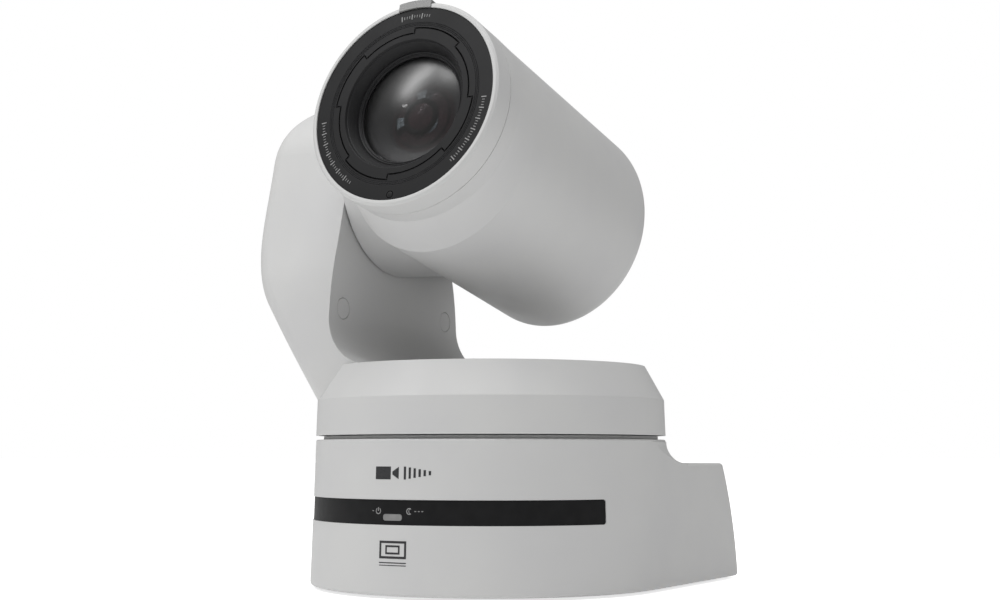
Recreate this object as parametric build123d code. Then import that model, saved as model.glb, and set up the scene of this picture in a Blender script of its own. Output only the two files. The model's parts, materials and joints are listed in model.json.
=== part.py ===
from build123d import *
import math
import os

# A pan-tilt-zoom video camera.
# Frame: origin on the pan axis at the surface the feet stand on, +Z up, lens towards -Y,
# arm on the -X side. All lengths are millimetres. The head is drawn level in its own
# frame (lens axis along -Y through the tilt axis) and then tilted up to its rest angle.

os.makedirs("parts", exist_ok=True)

# ---- driving dimensions: base
FOOT = 1.2                      # gap that the feet leave under the housing
WALL = 2.5                      # wall of the moulded housings
BASE_R_LOW = 92.2               # half width at the bottom edge
BASE_R_TOP = 89.9               # radius at the top edge
BASE_TOP = 74.1
BLOCK_TOP = 62.0                # top of the lower rear block
REAR_CORNER_Y = 113.0           # rear corners at the bottom edge
REAR_MID_Y = 124.0              # middle of the bowed rear face at the bottom edge
REAR_LEAN = 16.0                # how far the rear face leans in at the top of the block
WINDOW_LOW, WINDOW_HIGH = 33.95, 45.7
WINDOW_HALF_ANGLE = 67.0
PLATE_LOW, PLATE_HIGH = 1.8, 4.3
TRIPOD_MINOR_R = 2.55           # minor radius of a 1/4-20 thread
PANEL_Y = 92.0                  # outer face of the connector panel
PANEL_HALF_X = 72.0
PANEL_LOW, PANEL_HIGH = 9.0, 51.0

POSTS = [(-62, -58), (62, -58), (-84.3, 62), (84.3, 62)]            # screw posts under the shell
BRACKET_HOLES = [(-58, -20), (58, -20), (-58, 40), (58, 40)]
FEET = [(-45, -52), (45, -52), (-62, 72), (62, 72)]

# ---- driving dimensions: connectors
HIGH_ROW_Z, LOW_ROW_Z = 40.0, 20.0
BNC_X = [-28.0, -8.0, 12.0]
POWER_X, POWER_Z = -55.0, 30.0
HDMI_X = -24.0
NETWORK_X = [20.0, 42.0]
SWITCH_X = 44.0
FAN_Y, FAN_Z = -5.0, 33.0

# ---- driving dimensions: turntable and arm
TURN_LOW = 76.2
TURN_CREASE = 94.3
TURN_TOP = 111.6
TURN_R_LOW = 90.0
TURN_R_CREASE = 89.4
TURN_R_TOP = 79.8
ARM_FACE_X = -59.4              # inner face of the arm
ARM_R = 122.6                   # swept radius of the arm's outer face
ARM_R_HIGH = 120.6              # the same at the tilt axis
ARM_KNEE = 163.0                # height of the widest point
TILT_Z = 216.3
ARM_TOP_R = 42.8                # rounded top, about the tilt axis
ARM_ROOT_FILLET = 25.0
LID_X = -116.0                  # seam between arm and side cover
PLUG_Y, PLUG_Z, PLUG_R = 49.0, 141.4, 5.6
ARM_HOLE_R = 14.0               # hole for the tilt shaft and its cables

# ---- driving dimensions: head
REST_TILT = 12.8                # degrees above level at rest
RING_R = 53.1
FACE_S = 86.9                   # front plane, ahead of the tilt axis
SEAM_S = 74.2
FLARE_FRONT_S, FLARE_BACK_S = 65.0, 49.0
BODY_RX, BODY_RZ = 53.7, 58.4   # half axes of the oval body
BODY_DROP = 4.8                 # the oval's centre lies this far under the lens axis
REAR_S = -87.0
REAR_FILLET = 12.0
HUB_R = 54.0
HUB_X = -58.4
HUB_TAPER = 19.3                # degrees each side, converging to the rear
REAR_COVER_R = 36.0
LUG_ANGLES = [66.5, -23.8, -115.9, 154.8]
LUG_HALF = 21.5                 # half of a lug's spread, in degrees
LUG_LOW_R, LUG_HIGH_R = 36.7, 39.4
LENS_MOUTH_R = 33.7
DISC_S = FACE_S - 0.5           # face of the black rings, just inside the white one

# ---- driving dimensions: drives and optics
GEAR_MODULE = 1.0
PINION_TEETH = 16
PAN_TEETH = 80
TILT_TEETH = 64
BACKLASH = 0.25
RUN = 0.05                      # radial running clearance
PAN_SHAFT_R = 15.0
TILT_SHAFT_R = 12.0
LENS_TUBE_R = 36.0
LENS_BORE_R = 33.0
GLASS_R = 27.5
ROD_R = 1.5
ROD_OFFSET = 26.0
WHEEL_Z = 13.0                  # filter wheel's axis above the lens axis
PAN_PINION_Y = GEAR_MODULE * (PAN_TEETH + PINION_TEETH) / 2
TILT_PINION_Z = TILT_Z - GEAR_MODULE * (TILT_TEETH + PINION_TEETH) / 2


# ---- small helpers
def upright(radius, low, high, x=0, y=0):
    """Vertical cylinder between two heights."""
    return Pos(x, y, (low + high) / 2) * Cylinder(radius, high - low)


def tube(outer, inner, low, high, x=0, y=0):
    return upright(outer, low, high, x, y) - upright(inner, low - 1, high + 1, x, y)


def block(x0, x1, y0, y1, z0, z1):
    centre = Pos((x0 + x1) / 2, (y0 + y1) / 2, (z0 + z1) / 2)
    return centre * Box(x1 - x0, y1 - y0, z1 - z0)


def across(radius, x0, x1, y=0, z=0):
    """Cylinder along X."""
    return Pos((x0 + x1) / 2, y, z) * Rot(0, 90, 0) * Cylinder(radius, x1 - x0)


def backward(radius, y0, y1, x=0, z=0):
    """Cylinder along Y."""
    return Pos(x, (y0 + y1) / 2, z) * Rot(90, 0, 0) * Cylinder(radius, y1 - y0)


def along(radius, s0, s1, x=0, z=0):
    """Cylinder along the lens axis of the level head; s is measured forward."""
    return backward(radius, -s1, -s0, x, z)


def slab(x0, x1, s0, s1, z0, z1):
    """Block in the level head, with s measured forward."""
    return block(x0, x1, -s1, -s0, z0, z1)


def cove(x0, z0, x1, z1):
    """Quarter circle in the XZ plane, level at (x0, z0) and upright at (x1, z1)."""
    turn = math.sqrt(0.5)
    middle = (x0 + (x1 - x0) * turn, 0, z1 + (z0 - z1) * turn)
    return ThreePointArc((x0, 0, z0), middle, (x1, 0, z1))


def turned(points):
    """Solid of revolution about Z from (radius, height) points, straight edges."""
    outline = Polyline(*[(r, 0, z) for r, z in points], close=True)
    return revolve(make_face(outline), Axis.Z)


def lens_turned(points):
    """Solid of revolution about the lens axis from (radius, s) points."""
    return Rot(90, 0, 0) * turned(points)


def at_rest(shape):
    """Moves a piece of the level head to where it is at rest."""
    return Pos(0, 0, TILT_Z) * Rot(-REST_TILT, 0, 0) * shape


def save(node, shape):
    export_step(shape, f"parts/{node}.step")


def save_group(node, solids):
    export_step(Compound(children=list(solids)), f"parts/{node}.step")


def gear(teeth, width, bore, phase=0.0):
    """Spur gear with involute flanks, one tooth centred on +X turned by phase degrees."""
    pitch_r = GEAR_MODULE * teeth / 2
    pressure = math.radians(20)
    base_r = pitch_r * math.cos(pressure)
    tip_r = pitch_r + 0.9 * GEAR_MODULE
    root_r = pitch_r - 1.25 * GEAR_MODULE
    half_pitch = math.pi / (2 * teeth) - BACKLASH / (2 * pitch_r)

    def flank(radius):
        angle = math.acos(min(1.0, base_r / radius))
        roll = math.tan(angle) - angle
        return half_pitch + math.tan(pressure) - pressure - roll

    start = max(base_r, root_r)
    radii = [start, (start + pitch_r) / 2, pitch_r, (pitch_r + tip_r) / 2, tip_r]
    points = []
    for tooth in range(teeth):
        middle = 2 * math.pi * tooth / teeth + math.radians(phase)
        sides = [(root_r, -flank(start))] + [(r, -flank(r)) for r in radii[1:]]
        sides += [(r, flank(r)) for r in reversed(radii[1:])] + [(root_r, flank(start))]
        for radius, angle in sides:
            points.append((radius * math.cos(middle + angle), radius * math.sin(middle + angle)))
    blank = extrude(make_face(Polyline(*points, close=True)), width)
    return blank - upright(bore, -1, width + 1)


# ---- base: housing
def base_radius(height):
    return BASE_R_LOW + (BASE_R_TOP - BASE_R_LOW) * (height - FOOT) / (BASE_TOP - FOOT)


def footprint(radius, back):
    """U-shaped plan outline: half a circle in front and straight sides to the back."""
    sides = Polyline((radius, 0), (radius, back), (-radius, back), (-radius, 0))
    return make_face(sides + ThreePointArc((-radius, 0), (0, -radius), (radius, 0)))


def base_body(inset):
    """Outer form of the base (inset 0) or its cavity (inset of one wall)."""
    back = REAR_MID_Y + 10
    low, high = FOOT, BLOCK_TOP - inset
    low_plan = Pos(0, 0, low) * footprint(base_radius(low) - inset, back)
    high_plan = Pos(0, 0, high) * footprint(base_radius(high) - inset, back)
    lower = loft([low_plan, high_plan], ruled=True)
    # the rear face is a surface of revolution about a far vertical axis, leaning in
    bow = REAR_MID_Y - REAR_CORNER_Y
    bow_r = (BASE_R_LOW ** 2 + bow ** 2) / (2 * bow)
    axis_y = REAR_MID_Y - bow_r
    foot_r, head_r = bow_r - inset, bow_r - REAR_LEAN - inset
    rear_curve = ThreePointArc((foot_r, 0, low - 1), (foot_r - 3.0, 0, 26), (head_r, 0, high + 2))
    frame = Polyline((head_r, 0, high + 2), (0, 0, high + 2), (0, 0, low - 1), (foot_r, 0, low - 1))
    rear_form = revolve(make_face(rear_curve + frame), Axis.Z)
    lower = lower & (Pos(0, axis_y, 0) * rear_form)
    if inset == 0:
        corners = lower.edges().filter_by(lambda e: e.center().Y > 90 and abs(e.center().X) > 80
                                          and e.bounding_box().size.Z > 40)
        lower = fillet(corners, 9)
        lower = fillet(lower.edges().filter_by(lambda e: e.center().Z < FOOT + 0.1), 1.6)
        rim = lower.edges().filter_by(lambda e: e.center().Z > BLOCK_TOP - 0.1)
        rim = [e for e in rim if e.bounding_box().min.Y > 60]
        lower = fillet(rim, 2.0)
    crown = turned([(0, high - 20), (base_radius(high - 20) - inset, high - 20),
                    (BASE_R_TOP - inset, BASE_TOP - inset), (0, BASE_TOP - inset)])
    return lower + crown


def root_fillet():
    """Hollow sweep where the round crown meets the top of the rear block."""
    radius = 11.0
    inner = BASE_R_TOP - 1.0
    centre_r = base_radius(BLOCK_TOP) + radius
    centre_z = BLOCK_TOP + radius
    curve = cove(centre_r, BLOCK_TOP, centre_r - radius, centre_z)
    corner = Polyline((centre_r - radius, 0, centre_z), (inner, 0, centre_z), (inner, 0, BLOCK_TOP - 2),
                      (centre_r, 0, BLOCK_TOP - 2), (centre_r, 0, BLOCK_TOP))
    ring = revolve(make_face(curve + corner), Axis.Z)
    low_plan = Pos(0, 0, FOOT) * footprint(base_radius(FOOT), REAR_MID_Y)
    high_plan = Pos(0, 0, BASE_TOP) * footprint(base_radius(BASE_TOP), REAR_MID_Y)
    sides = loft([low_plan, high_plan], ruled=True)
    return ring & sides & block(-100, 100, 1, 130, BLOCK_TOP - 3, BASE_TOP)




def window_band(depth_in, proud):
    """The front window, or the pocket it lies in."""
    low_r, high_r = base_radius(WINDOW_LOW), base_radius(WINDOW_HIGH)
    ring = turned([(low_r - depth_in, WINDOW_LOW), (low_r + proud, WINDOW_LOW),
                   (high_r + proud, WINDOW_HIGH), (high_r - depth_in, WINDOW_HIGH)])
    half = math.radians(WINDOW_HALF_ANGLE)
    reach = 140
    sector = make_face(Polyline((0, 0), (-reach * math.sin(half), -reach * math.cos(half)), (0, -reach * 2),
                                (reach * math.sin(half), -reach * math.cos(half)), close=True))
    band = ring & extrude(Pos(0, 0, WINDOW_LOW - 1) * sector, WINDOW_HIGH - WINDOW_LOW + 2)
    ends = [e for e in band.edges() if abs(e.center().X) > 70 and abs(e.tangent_at(0.5).Z) < 0.3]
    return fillet([e for e in ends if e.length < 6], 1.4)


def make_base_housing():
    shell = base_body(0) + root_fillet()
    crown_edge = shell.edges().filter_by(lambda e: e.center().Z > BASE_TOP - 0.1)
    shell = fillet(crown_edge, 0.8)
    posts = [upright(4.5, PLATE_HIGH, 40, x, y) for x, y in POSTS]
    cavity = base_body(WALL) & block(-100, 100, -100, PANEL_Y, 0, 100)
    for post in posts:
        cavity -= post
    shell -= cavity
    shell -= block(-91, 91, -100, PANEL_Y - 1.5, 0, PLATE_HIGH) & base_body(WALL)
    shell -= upright(46, 60, BASE_TOP + 1)
    shell -= block(-PANEL_HALF_X + 2, PANEL_HALF_X - 2, PANEL_Y - 1, 130, PANEL_LOW + 2, PANEL_HIGH - 2)
    for x, y in POSTS:
        shell -= upright(1.3, 0, 16, x, y)
    shell -= window_band(1.6, 3)
    save("base_housing", shell)


def make_base_plate():
    outline = footprint(base_radius(FOOT) - WALL - 0.3, PANEL_Y - 1.8)
    plate = extrude(Pos(0, 0, PLATE_LOW) * outline, PLATE_HIGH - PLATE_LOW)
    for x, y in BRACKET_HOLES:
        plate += upright(5, PLATE_LOW, 9, x, y)
        plate -= upright(2.1, 0, 10, x, y)
    for x, y in POSTS:
        plate -= upright(1.6, 0, 10, x, y)
        plate -= upright(3.1, 0, PLATE_LOW + 1.4, x, y)
    for side in (-1, 1):
        for row in range(6):
            plate -= block(side * 66 - 9, side * 66 + 9, -2 + row * 5, row * 5, 0, 10)
    plate -= upright(9, 0, 10)
    save("base_plate", plate)


def make_base_hardware():
    insert = upright(9, PLATE_LOW, 9) - upright(TRIPOD_MINOR_R, 0, 10)
    save("tripod_insert", insert)
    feet = []
    for x, y in FEET:
        foot = upright(7, 0, PLATE_LOW, x, y)
        feet.append(fillet(foot.edges().filter_by(lambda e: e.center().Z < 0.1), 0.6))
    save_group("rubber_feet", feet)
    screws = []
    for x, y in POSTS:
        head = upright(2.9, PLATE_LOW + 0.1, PLATE_LOW + 1.4, x, y)
        socket = upright(1.2, 0, PLATE_LOW + 0.9, x, y)
        screws.append(head + upright(1.2, PLATE_LOW + 1, 14, x, y) - socket)
    save_group("base_screws", screws)


def make_front_window():
    lamp = block(-5.2, 5.2, -95, -85, 36.0, 39.0)
    lamp = fillet(lamp.edges().filter_by(Axis.Y), 1.2)
    window = window_band(1.6, -0.45)
    save("indicator_window", window - lamp)
    save("status_light", lamp & window_band(1.6, -0.3))


# ---- base: electronics and connectors
def make_base_electronics():
    board = block(-70, 70, -38, 82, 11, 12.6) - upright(47, 0, 30)
    save("main_board", board)
    sink = block(30, 66, -28, 14, 12.6, 16)
    for fin in range(10):
        sink += block(30 + fin * 3.8, 31.6 + fin * 3.8, -28, 14, 15, 34)
    save("main_heat_sink", sink)
    frame = block(-70, -60, -25, 15, 13, 53)
    frame -= across(18.5, -71, -59, FAN_Y, FAN_Z)
    frame += block(-70, -68.6, -14, 4, 24, 42)
    for angle in (45, 135, 225, 315):
        strut = Pos(-69.3, FAN_Y, FAN_Z) * Rot(angle, 0, 0) * Box(1.4, 2.5, 40)
        frame += strut & block(-70, -68.6, -25, 15, 13, 53)
    frame += across(1.2, -70, -63, FAN_Y, FAN_Z)
    save("fan_frame", frame)
    rotor = across(8, -67.6, -61, FAN_Y, FAN_Z) - across(1.2 + RUN, -70, -62.4, FAN_Y, FAN_Z)
    for blade in range(7):
        angle = 360 / 7 * blade
        vane = Rot(angle, 0, 0) * Pos(-64.3, 0, 12.4) * Rot(0, 0, 35) * Box(1.0, 6.5, 10.5)
        rotor += Pos(0, FAN_Y, FAN_Z) * vane
    save("fan_rotor", rotor)


def make_rear_panel():
    panel = block(-PANEL_HALF_X, PANEL_HALF_X, PANEL_Y - 1.5, PANEL_Y, PANEL_LOW, PANEL_HIGH)
    panel -= block(POWER_X - 9.6, POWER_X + 9.6, 80, 100, POWER_Z - 9.6, POWER_Z + 9.6)
    panel -= block(HDMI_X - 7.6, HDMI_X + 7.6, 80, 100, LOW_ROW_Z - 2.9, LOW_ROW_Z + 2.9)
    for x in NETWORK_X:
        panel -= block(x - 8.1, x + 8.1, 80, 100, LOW_ROW_Z - 7.1, LOW_ROW_Z + 7.1)
    panel -= block(SWITCH_X - 3.6, SWITCH_X + 3.6, 80, 100, HIGH_ROW_Z - 1.2, HIGH_ROW_Z + 1.2)
    save("rear_panel", panel)


def coaxial_socket(x):
    """Bayonet video socket that stands on the panel."""
    z = HIGH_ROW_Z
    socket = backward(7.0, PANEL_Y, PANEL_Y + 2, x, z) + backward(4.8, PANEL_Y, PANEL_Y + 13, x, z)
    socket += across(0.9, x - 5.9, x + 5.9, PANEL_Y + 9, z)
    socket -= backward(4.0, PANEL_Y + 2, PANEL_Y + 14, x, z)
    socket += backward(2.2, PANEL_Y + 1, PANEL_Y + 9, x, z)
    return socket - backward(0.8, PANEL_Y + 4, PANEL_Y + 10, x, z)


def network_socket(x):
    shell = block(x - 8, x + 8, PANEL_Y - 13, PANEL_Y + 1.5, LOW_ROW_Z - 7, LOW_ROW_Z + 7)
    return shell - block(x - 6, x + 6, PANEL_Y - 12, PANEL_Y + 2, LOW_ROW_Z - 5.5, LOW_ROW_Z + 4)


def make_connectors():
    save_group("bnc_connectors", [coaxial_socket(x) for x in BNC_X])
    hdmi = block(HDMI_X - 7.5, HDMI_X + 7.5, PANEL_Y - 8, PANEL_Y + 2, LOW_ROW_Z - 2.8, LOW_ROW_Z + 2.8)
    hdmi -= block(HDMI_X - 7, HDMI_X + 7, PANEL_Y - 7, PANEL_Y + 3, LOW_ROW_Z - 2.3, LOW_ROW_Z + 2.3)
    save("hdmi_socket", hdmi)
    save_group("network_sockets", [network_socket(x) for x in NETWORK_X])
    inlet = backward(9.5, PANEL_Y - 10, PANEL_Y + 3, POWER_X, POWER_Z)
    inlet += block(POWER_X - 13, POWER_X + 13, PANEL_Y, PANEL_Y + 2, POWER_Z - 13, POWER_Z + 13)
    inlet -= backward(7.6, PANEL_Y - 8, PANEL_Y + 4, POWER_X, POWER_Z)
    for pin in range(4):
        angle = math.radians(45 + 90 * pin)
        x, z = POWER_X + 4.4 * math.cos(angle), POWER_Z + 4.4 * math.sin(angle)
        inlet += backward(0.9, PANEL_Y - 9, PANEL_Y, x, z)
    save("power_inlet", inlet)
    switch = block(SWITCH_X - 6, SWITCH_X + 6, PANEL_Y - 7.5, PANEL_Y - 1.5, HIGH_ROW_Z - 3, HIGH_ROW_Z + 3)
    switch -= block(SWITCH_X - 3.6, SWITCH_X + 3.6, PANEL_Y - 4, PANEL_Y, HIGH_ROW_Z - 1.2, HIGH_ROW_Z + 1.2)
    save("switch_body", switch)
    lever = block(SWITCH_X - 3, SWITCH_X - 0.4, PANEL_Y - 3.8, PANEL_Y + 2.2, HIGH_ROW_Z - 1, HIGH_ROW_Z + 1)
    save("mode_switch", lever)


# ---- pan drive
def make_pan_drive():
    pillar = upright(45, PLATE_HIGH, 8) + upright(23, 7, 50) - upright(19, 12, 51) - upright(17, 8, 13)
    pillar -= upright(9, 0, 9)
    pillar += block(-14, 14, 20, PAN_PINION_Y + 16, 47.5, 50) - upright(19, 12, 51)
    pillar -= upright(4, 40, 51, 0, PAN_PINION_Y)
    save("pan_pillar", pillar)
    bearings = [tube(19, PAN_SHAFT_R + RUN, low, low + 8) for low in (13, 41)]
    save_group("pan_bearings", bearings)
    motor = upright(16, 18, 47.5, 0, PAN_PINION_Y) - upright(2.5 + RUN, 40, 48, 0, PAN_PINION_Y)
    save("pan_motor", motor)
    shaft = tube(PAN_SHAFT_R, 11, 12.5, 76.6) + tube(38, 11, 73, 76.6)
    save("pan_shaft", shaft)
    save("pan_gear", Pos(0, 0, 54) * gear(PAN_TEETH, 6, PAN_SHAFT_R))
    pinion = gear(PINION_TEETH, 8, 0.5, phase=180 / PINION_TEETH)
    pinion = Pos(0, PAN_PINION_Y, 53) * pinion + upright(2.5, 41.5, 61, 0, PAN_PINION_Y)
    save("pan_pinion", pinion)
    save("dust_seal", tube(86, 81, BASE_TOP, TURN_LOW - 0.4))


# ---- turntable and arm
def arm_side_outline(inset):
    """Side view of the arm: tapering sides under a round top about the tilt axis."""
    widths = [(TURN_LOW, 65.2), (112, 63.2), (131, 61.6), (145, 60.5), (160, 58.2), (176, 54.0), (199, 48.4)]
    lean = math.radians(14)
    top_r = ARM_TOP_R - inset
    touch = (top_r * math.cos(lean), TILT_Z + top_r * math.sin(lean))
    right = [(0, half - inset, height) for height, half in widths] + [(0, touch[0], touch[1])]
    left = [(0, -y, z) for _, y, z in reversed(right)]
    top = ThreePointArc(right[-1], (0, 0, TILT_Z + top_r), left[0])
    edges = Spline(*right) + top + Spline(*left) + Line(left[-1], right[0])
    return make_face(edges)


def swept_form(inset):
    """Body of revolution about the pan axis that bounds the arm's outer face."""
    knee_r = ARM_R - inset
    slope = math.tan(math.radians(61.6))
    flare = (knee_r - 6 - (TURN_R_CREASE - inset)) * slope
    flare_top = (knee_r - 6, 0, TURN_CREASE + flare)
    start = (TURN_R_CREASE - inset, 0, TURN_CREASE)
    shoulder = 34.0 - inset
    top_z = TILT_Z + ARM_TOP_R + 6
    high = (ARM_R_HIGH - inset, 0, TILT_Z + 4)
    bend = Spline(flare_top, (knee_r, 0, ARM_KNEE + 2), high,
                  tangents=[(1, 0, slope), (-0.04, 0, 1)])
    corner = (high[0] - shoulder * 0.57, 0, high[2] + shoulder * 0.97)
    crest = (high[0] - shoulder * 1.5, 0, top_z)
    cap = Spline(high, corner, crest, tangents=[(-0.04, 0, 1), (-1, 0, 0.25)])
    inner = 20.0
    close = Polyline(crest, (inner, 0, top_z), (inner, 0, TURN_CREASE), start, flare_top)
    return revolve(make_face(bend + cap + close), Axis.Z)


def drum(inset):
    return turned([(0, TURN_LOW - (1 if inset else 0)), (TURN_R_LOW - inset, TURN_LOW - (1 if inset else 0)),
                   (TURN_R_CREASE - inset, TURN_CREASE), (TURN_R_TOP - inset, TURN_TOP - inset),
                   (0, TURN_TOP - inset)])


def arm_body(inset):
    sides = extrude(Pos(ARM_FACE_X - inset, 0, 0) * arm_side_outline(inset), amount=80, dir=(-1, 0, 0))
    return sides & swept_form(inset)


def root_web():
    """Concave fillet between the arm's inner face and the turntable's top."""
    radius = ARM_ROOT_FILLET
    toe = (ARM_FACE_X + radius, 0, TURN_TOP)
    top = (ARM_FACE_X, 0, TURN_TOP + radius)
    curve = cove(toe[0], toe[2], top[0], top[2])
    back_x = ARM_FACE_X - 1
    close = Polyline(toe, (toe[0], 0, TURN_CREASE), (back_x, 0, TURN_CREASE), (back_x, 0, top[2]), top)
    web = extrude(make_face(curve + close), amount=70, dir=(0, 1, 0), both=True)
    keep = extrude(arm_side_outline(0), amount=90, dir=(-1, 0, 0))
    return web & keep


def make_turntable():
    arm = arm_body(0)
    rounded = [e for e in arm.edges() if e.center().X < ARM_FACE_X - 1 and e.center().Z > TURN_CREASE + 5]
    arm = fillet(rounded, 9)
    shell = drum(0) + arm + root_web()
    shell -= drum(WALL)
    shell -= arm_body(WALL)
    shell -= across(ARM_HOLE_R, ARM_FACE_X - 5, ARM_FACE_X + 1, 0, TILT_Z)
    for y in (-PLUG_Y, PLUG_Y):
        shell -= across(PLUG_R, ARM_FACE_X - 1.2, ARM_FACE_X + 5, y, PLUG_Z)
    lid_side = block(-140, LID_X, -80, 80, 100, 280)
    lid = shell & lid_side
    save("arm_side_cover", lid)
    save("turntable_housing", shell - block(-140, LID_X + 0.01, -80, 80, 100, 280))
    plugs = [across(PLUG_R - 0.2, ARM_FACE_X - 1.2, ARM_FACE_X - 0.1, y, PLUG_Z) for y in (-PLUG_Y, PLUG_Y)]
    save_group("screw_plugs", plugs)


def make_arm_frame():
    plate = upright(86.5, TURN_LOW + 0.4, TURN_LOW + 3.4) - upright(11, 70, 90)
    save("turntable_plate", plate)
    foot_z = TURN_LOW + 3.4
    frame = block(-66, -62.4, -30, 30, foot_z, 240) + block(-66, 10, -30, 30, foot_z, foot_z + 3.6)
    frame -= upright(13, 70, 100)
    frame += across(23, -84, -62.4, 0, TILT_Z)
    frame -= across(19, -85, -66, 0, TILT_Z)
    frame -= across(ARM_HOLE_R, -67, -60, 0, TILT_Z)
    for y, z in ((0, 125), (0, 148)):
        frame -= across(8, -67, -61, y, z)
    save("arm_frame", frame)
    bearings = []
    for x in (-73, -84):
        ring = across(19, x, x + 7, 0, TILT_Z)
        bearings.append(ring - across(TILT_SHAFT_R + RUN, x - 1, x + 8, 0, TILT_Z))
    save_group("tilt_bearings", bearings)
    motor = across(16, -84, -66, 0, TILT_PINION_Z) - across(2.5 + RUN, -85, -78, 0, TILT_PINION_Z)
    save("tilt_motor", motor)


def make_tilt_drive():
    to_x = Rot(0, -90, 0)
    wheel = Pos(-88, 0, TILT_Z) * to_x * gear(TILT_TEETH, 6, TILT_SHAFT_R)
    save("tilt_gear", wheel)
    pinion = Pos(-87, 0, TILT_PINION_Z) * to_x * gear(PINION_TEETH, 8, 0.5, phase=180 / PINION_TEETH)
    pinion += across(2.5, -95, -78.5, 0, TILT_PINION_Z)
    save("tilt_pinion", pinion)
    shaft = across(TILT_SHAFT_R, -97, -44, 0, TILT_Z) + across(24, -48, -44, 0, TILT_Z)
    save("tilt_shaft", shaft - across(8.5, -98, -43, 0, TILT_Z))


# ---- head shell
def oval(rx, rz, s):
    plane = Plane(origin=(0, -s, -BODY_DROP), x_dir=(1, 0, 0), z_dir=(0, -1, 0))
    return plane * Ellipse(rx, rz)


def disc(radius, s):
    return Plane(origin=(0, -s, 0), x_dir=(1, 0, 0), z_dir=(0, -1, 0)) * Circle(radius)


def head_body(inset, rear, rear_fillet, front):
    rx, rz = BODY_RX - inset, BODY_RZ - inset
    body = extrude(oval(rx, rz, rear), amount=FLARE_BACK_S - rear, dir=(0, -1, 0))
    rim = body.edges().filter_by(lambda e: e.center().Y > -rear - 0.1)
    body = fillet(rim, rear_fillet)
    flare = loft([oval(rx, rz, FLARE_BACK_S), disc(RING_R - inset, FLARE_FRONT_S)], ruled=True)
    return body + flare + along(RING_R - inset, FLARE_FRONT_S, front)


def hub_body(inset):
    """Side boss towards the arm: round in front and tapering to the rear."""
    taper = math.radians(HUB_TAPER)
    radius = HUB_R - inset
    tail = -REAR_S - 2
    touch_y, touch_z = radius * math.sin(taper), radius * math.cos(taper)
    tail_z = touch_z - (tail - touch_y) * math.tan(taper)
    upper, lower = (0, touch_y, touch_z), (0, touch_y, -touch_z)
    arc = ThreePointArc(upper, (0, -radius, 0), lower)
    sides = Polyline(lower, (0, tail, -tail_z), (0, tail, tail_z), upper)
    boss = extrude(Pos(HUB_X + inset, 0, 0) * make_face(arc + sides), amount=58 - inset, dir=(1, 0, 0))
    corner = 22.0
    plan = block(HUB_X + inset, 40, -90, -REAR_S - inset, -70, 70)
    plan = fillet(plan.edges().filter_by(Axis.Z).sort_by(lambda e: e.center().X - e.center().Y)[0], corner)
    return boss & plan


def make_head_housing():
    shell = head_body(0, REAR_S, REAR_FILLET, SEAM_S) + hub_body(0)
    shell -= head_body(WALL, REAR_S + WALL, REAR_FILLET - WALL, SEAM_S + 1)
    shell -= hub_body(WALL) & block(-60, -20, -80, 80, -60, 60)
    shell -= along(REAR_COVER_R + 0.2, REAR_S - 1, REAR_S + WALL + 1, 0, -BODY_DROP)
    shell -= across(ARM_HOLE_R, -60, -50)
    save("head_housing", at_rest(shell))


def make_rear_cover():
    cover = along(REAR_COVER_R, REAR_S + 0.4, REAR_S + WALL, 0, -BODY_DROP)
    for row in range(-3, 4):
        half = math.sqrt(24 ** 2 - (row * 6.5) ** 2)
        middle = row * 6.5 - BODY_DROP
        cover -= slab(-half, half, REAR_S - 1, REAR_S + 4, middle - 1, middle + 1)
    screws = []
    for corner in range(4):
        angle = math.radians(45 + 90 * corner)
        x, z = 31 * math.cos(angle), 31 * math.sin(angle) - BODY_DROP
        cover -= along(1.6, REAR_S - 1, REAR_S + 4, x, z)
        head = along(2.8, REAR_S - 0.8, REAR_S + 0.4, x, z) - along(1.2, REAR_S - 1, REAR_S - 0.2, x, z)
        screws.append(at_rest(head + along(1.5, REAR_S + 0.3, REAR_S + 8, x, z)))
    save("rear_cover", at_rest(cover))
    save_group("rear_screws", screws)


# ---- head front
def lug_blank(grow, s0, s1):
    """Round disc with four wide lugs, as on a bayonet."""
    form = along(LUG_LOW_R + grow, s0, s1)
    ring = along(LUG_HIGH_R + grow, s0, s1)
    spread = math.radians(LUG_HALF) + grow / LUG_HIGH_R
    for middle in LUG_ANGLES:
        a = math.radians(middle)
        rays = (a - spread, a, a + spread)
        wedge = [(0, 0)] + [(60 * math.cos(ray), 60 * math.sin(ray)) for ray in rays]
        plane = Plane(origin=(0, -s0, 0), x_dir=(1, 0, 0), z_dir=(0, -1, 0))
        form += ring & extrude(plane * make_face(Polyline(*wedge, close=True)), s1 - s0)
    return form


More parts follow.
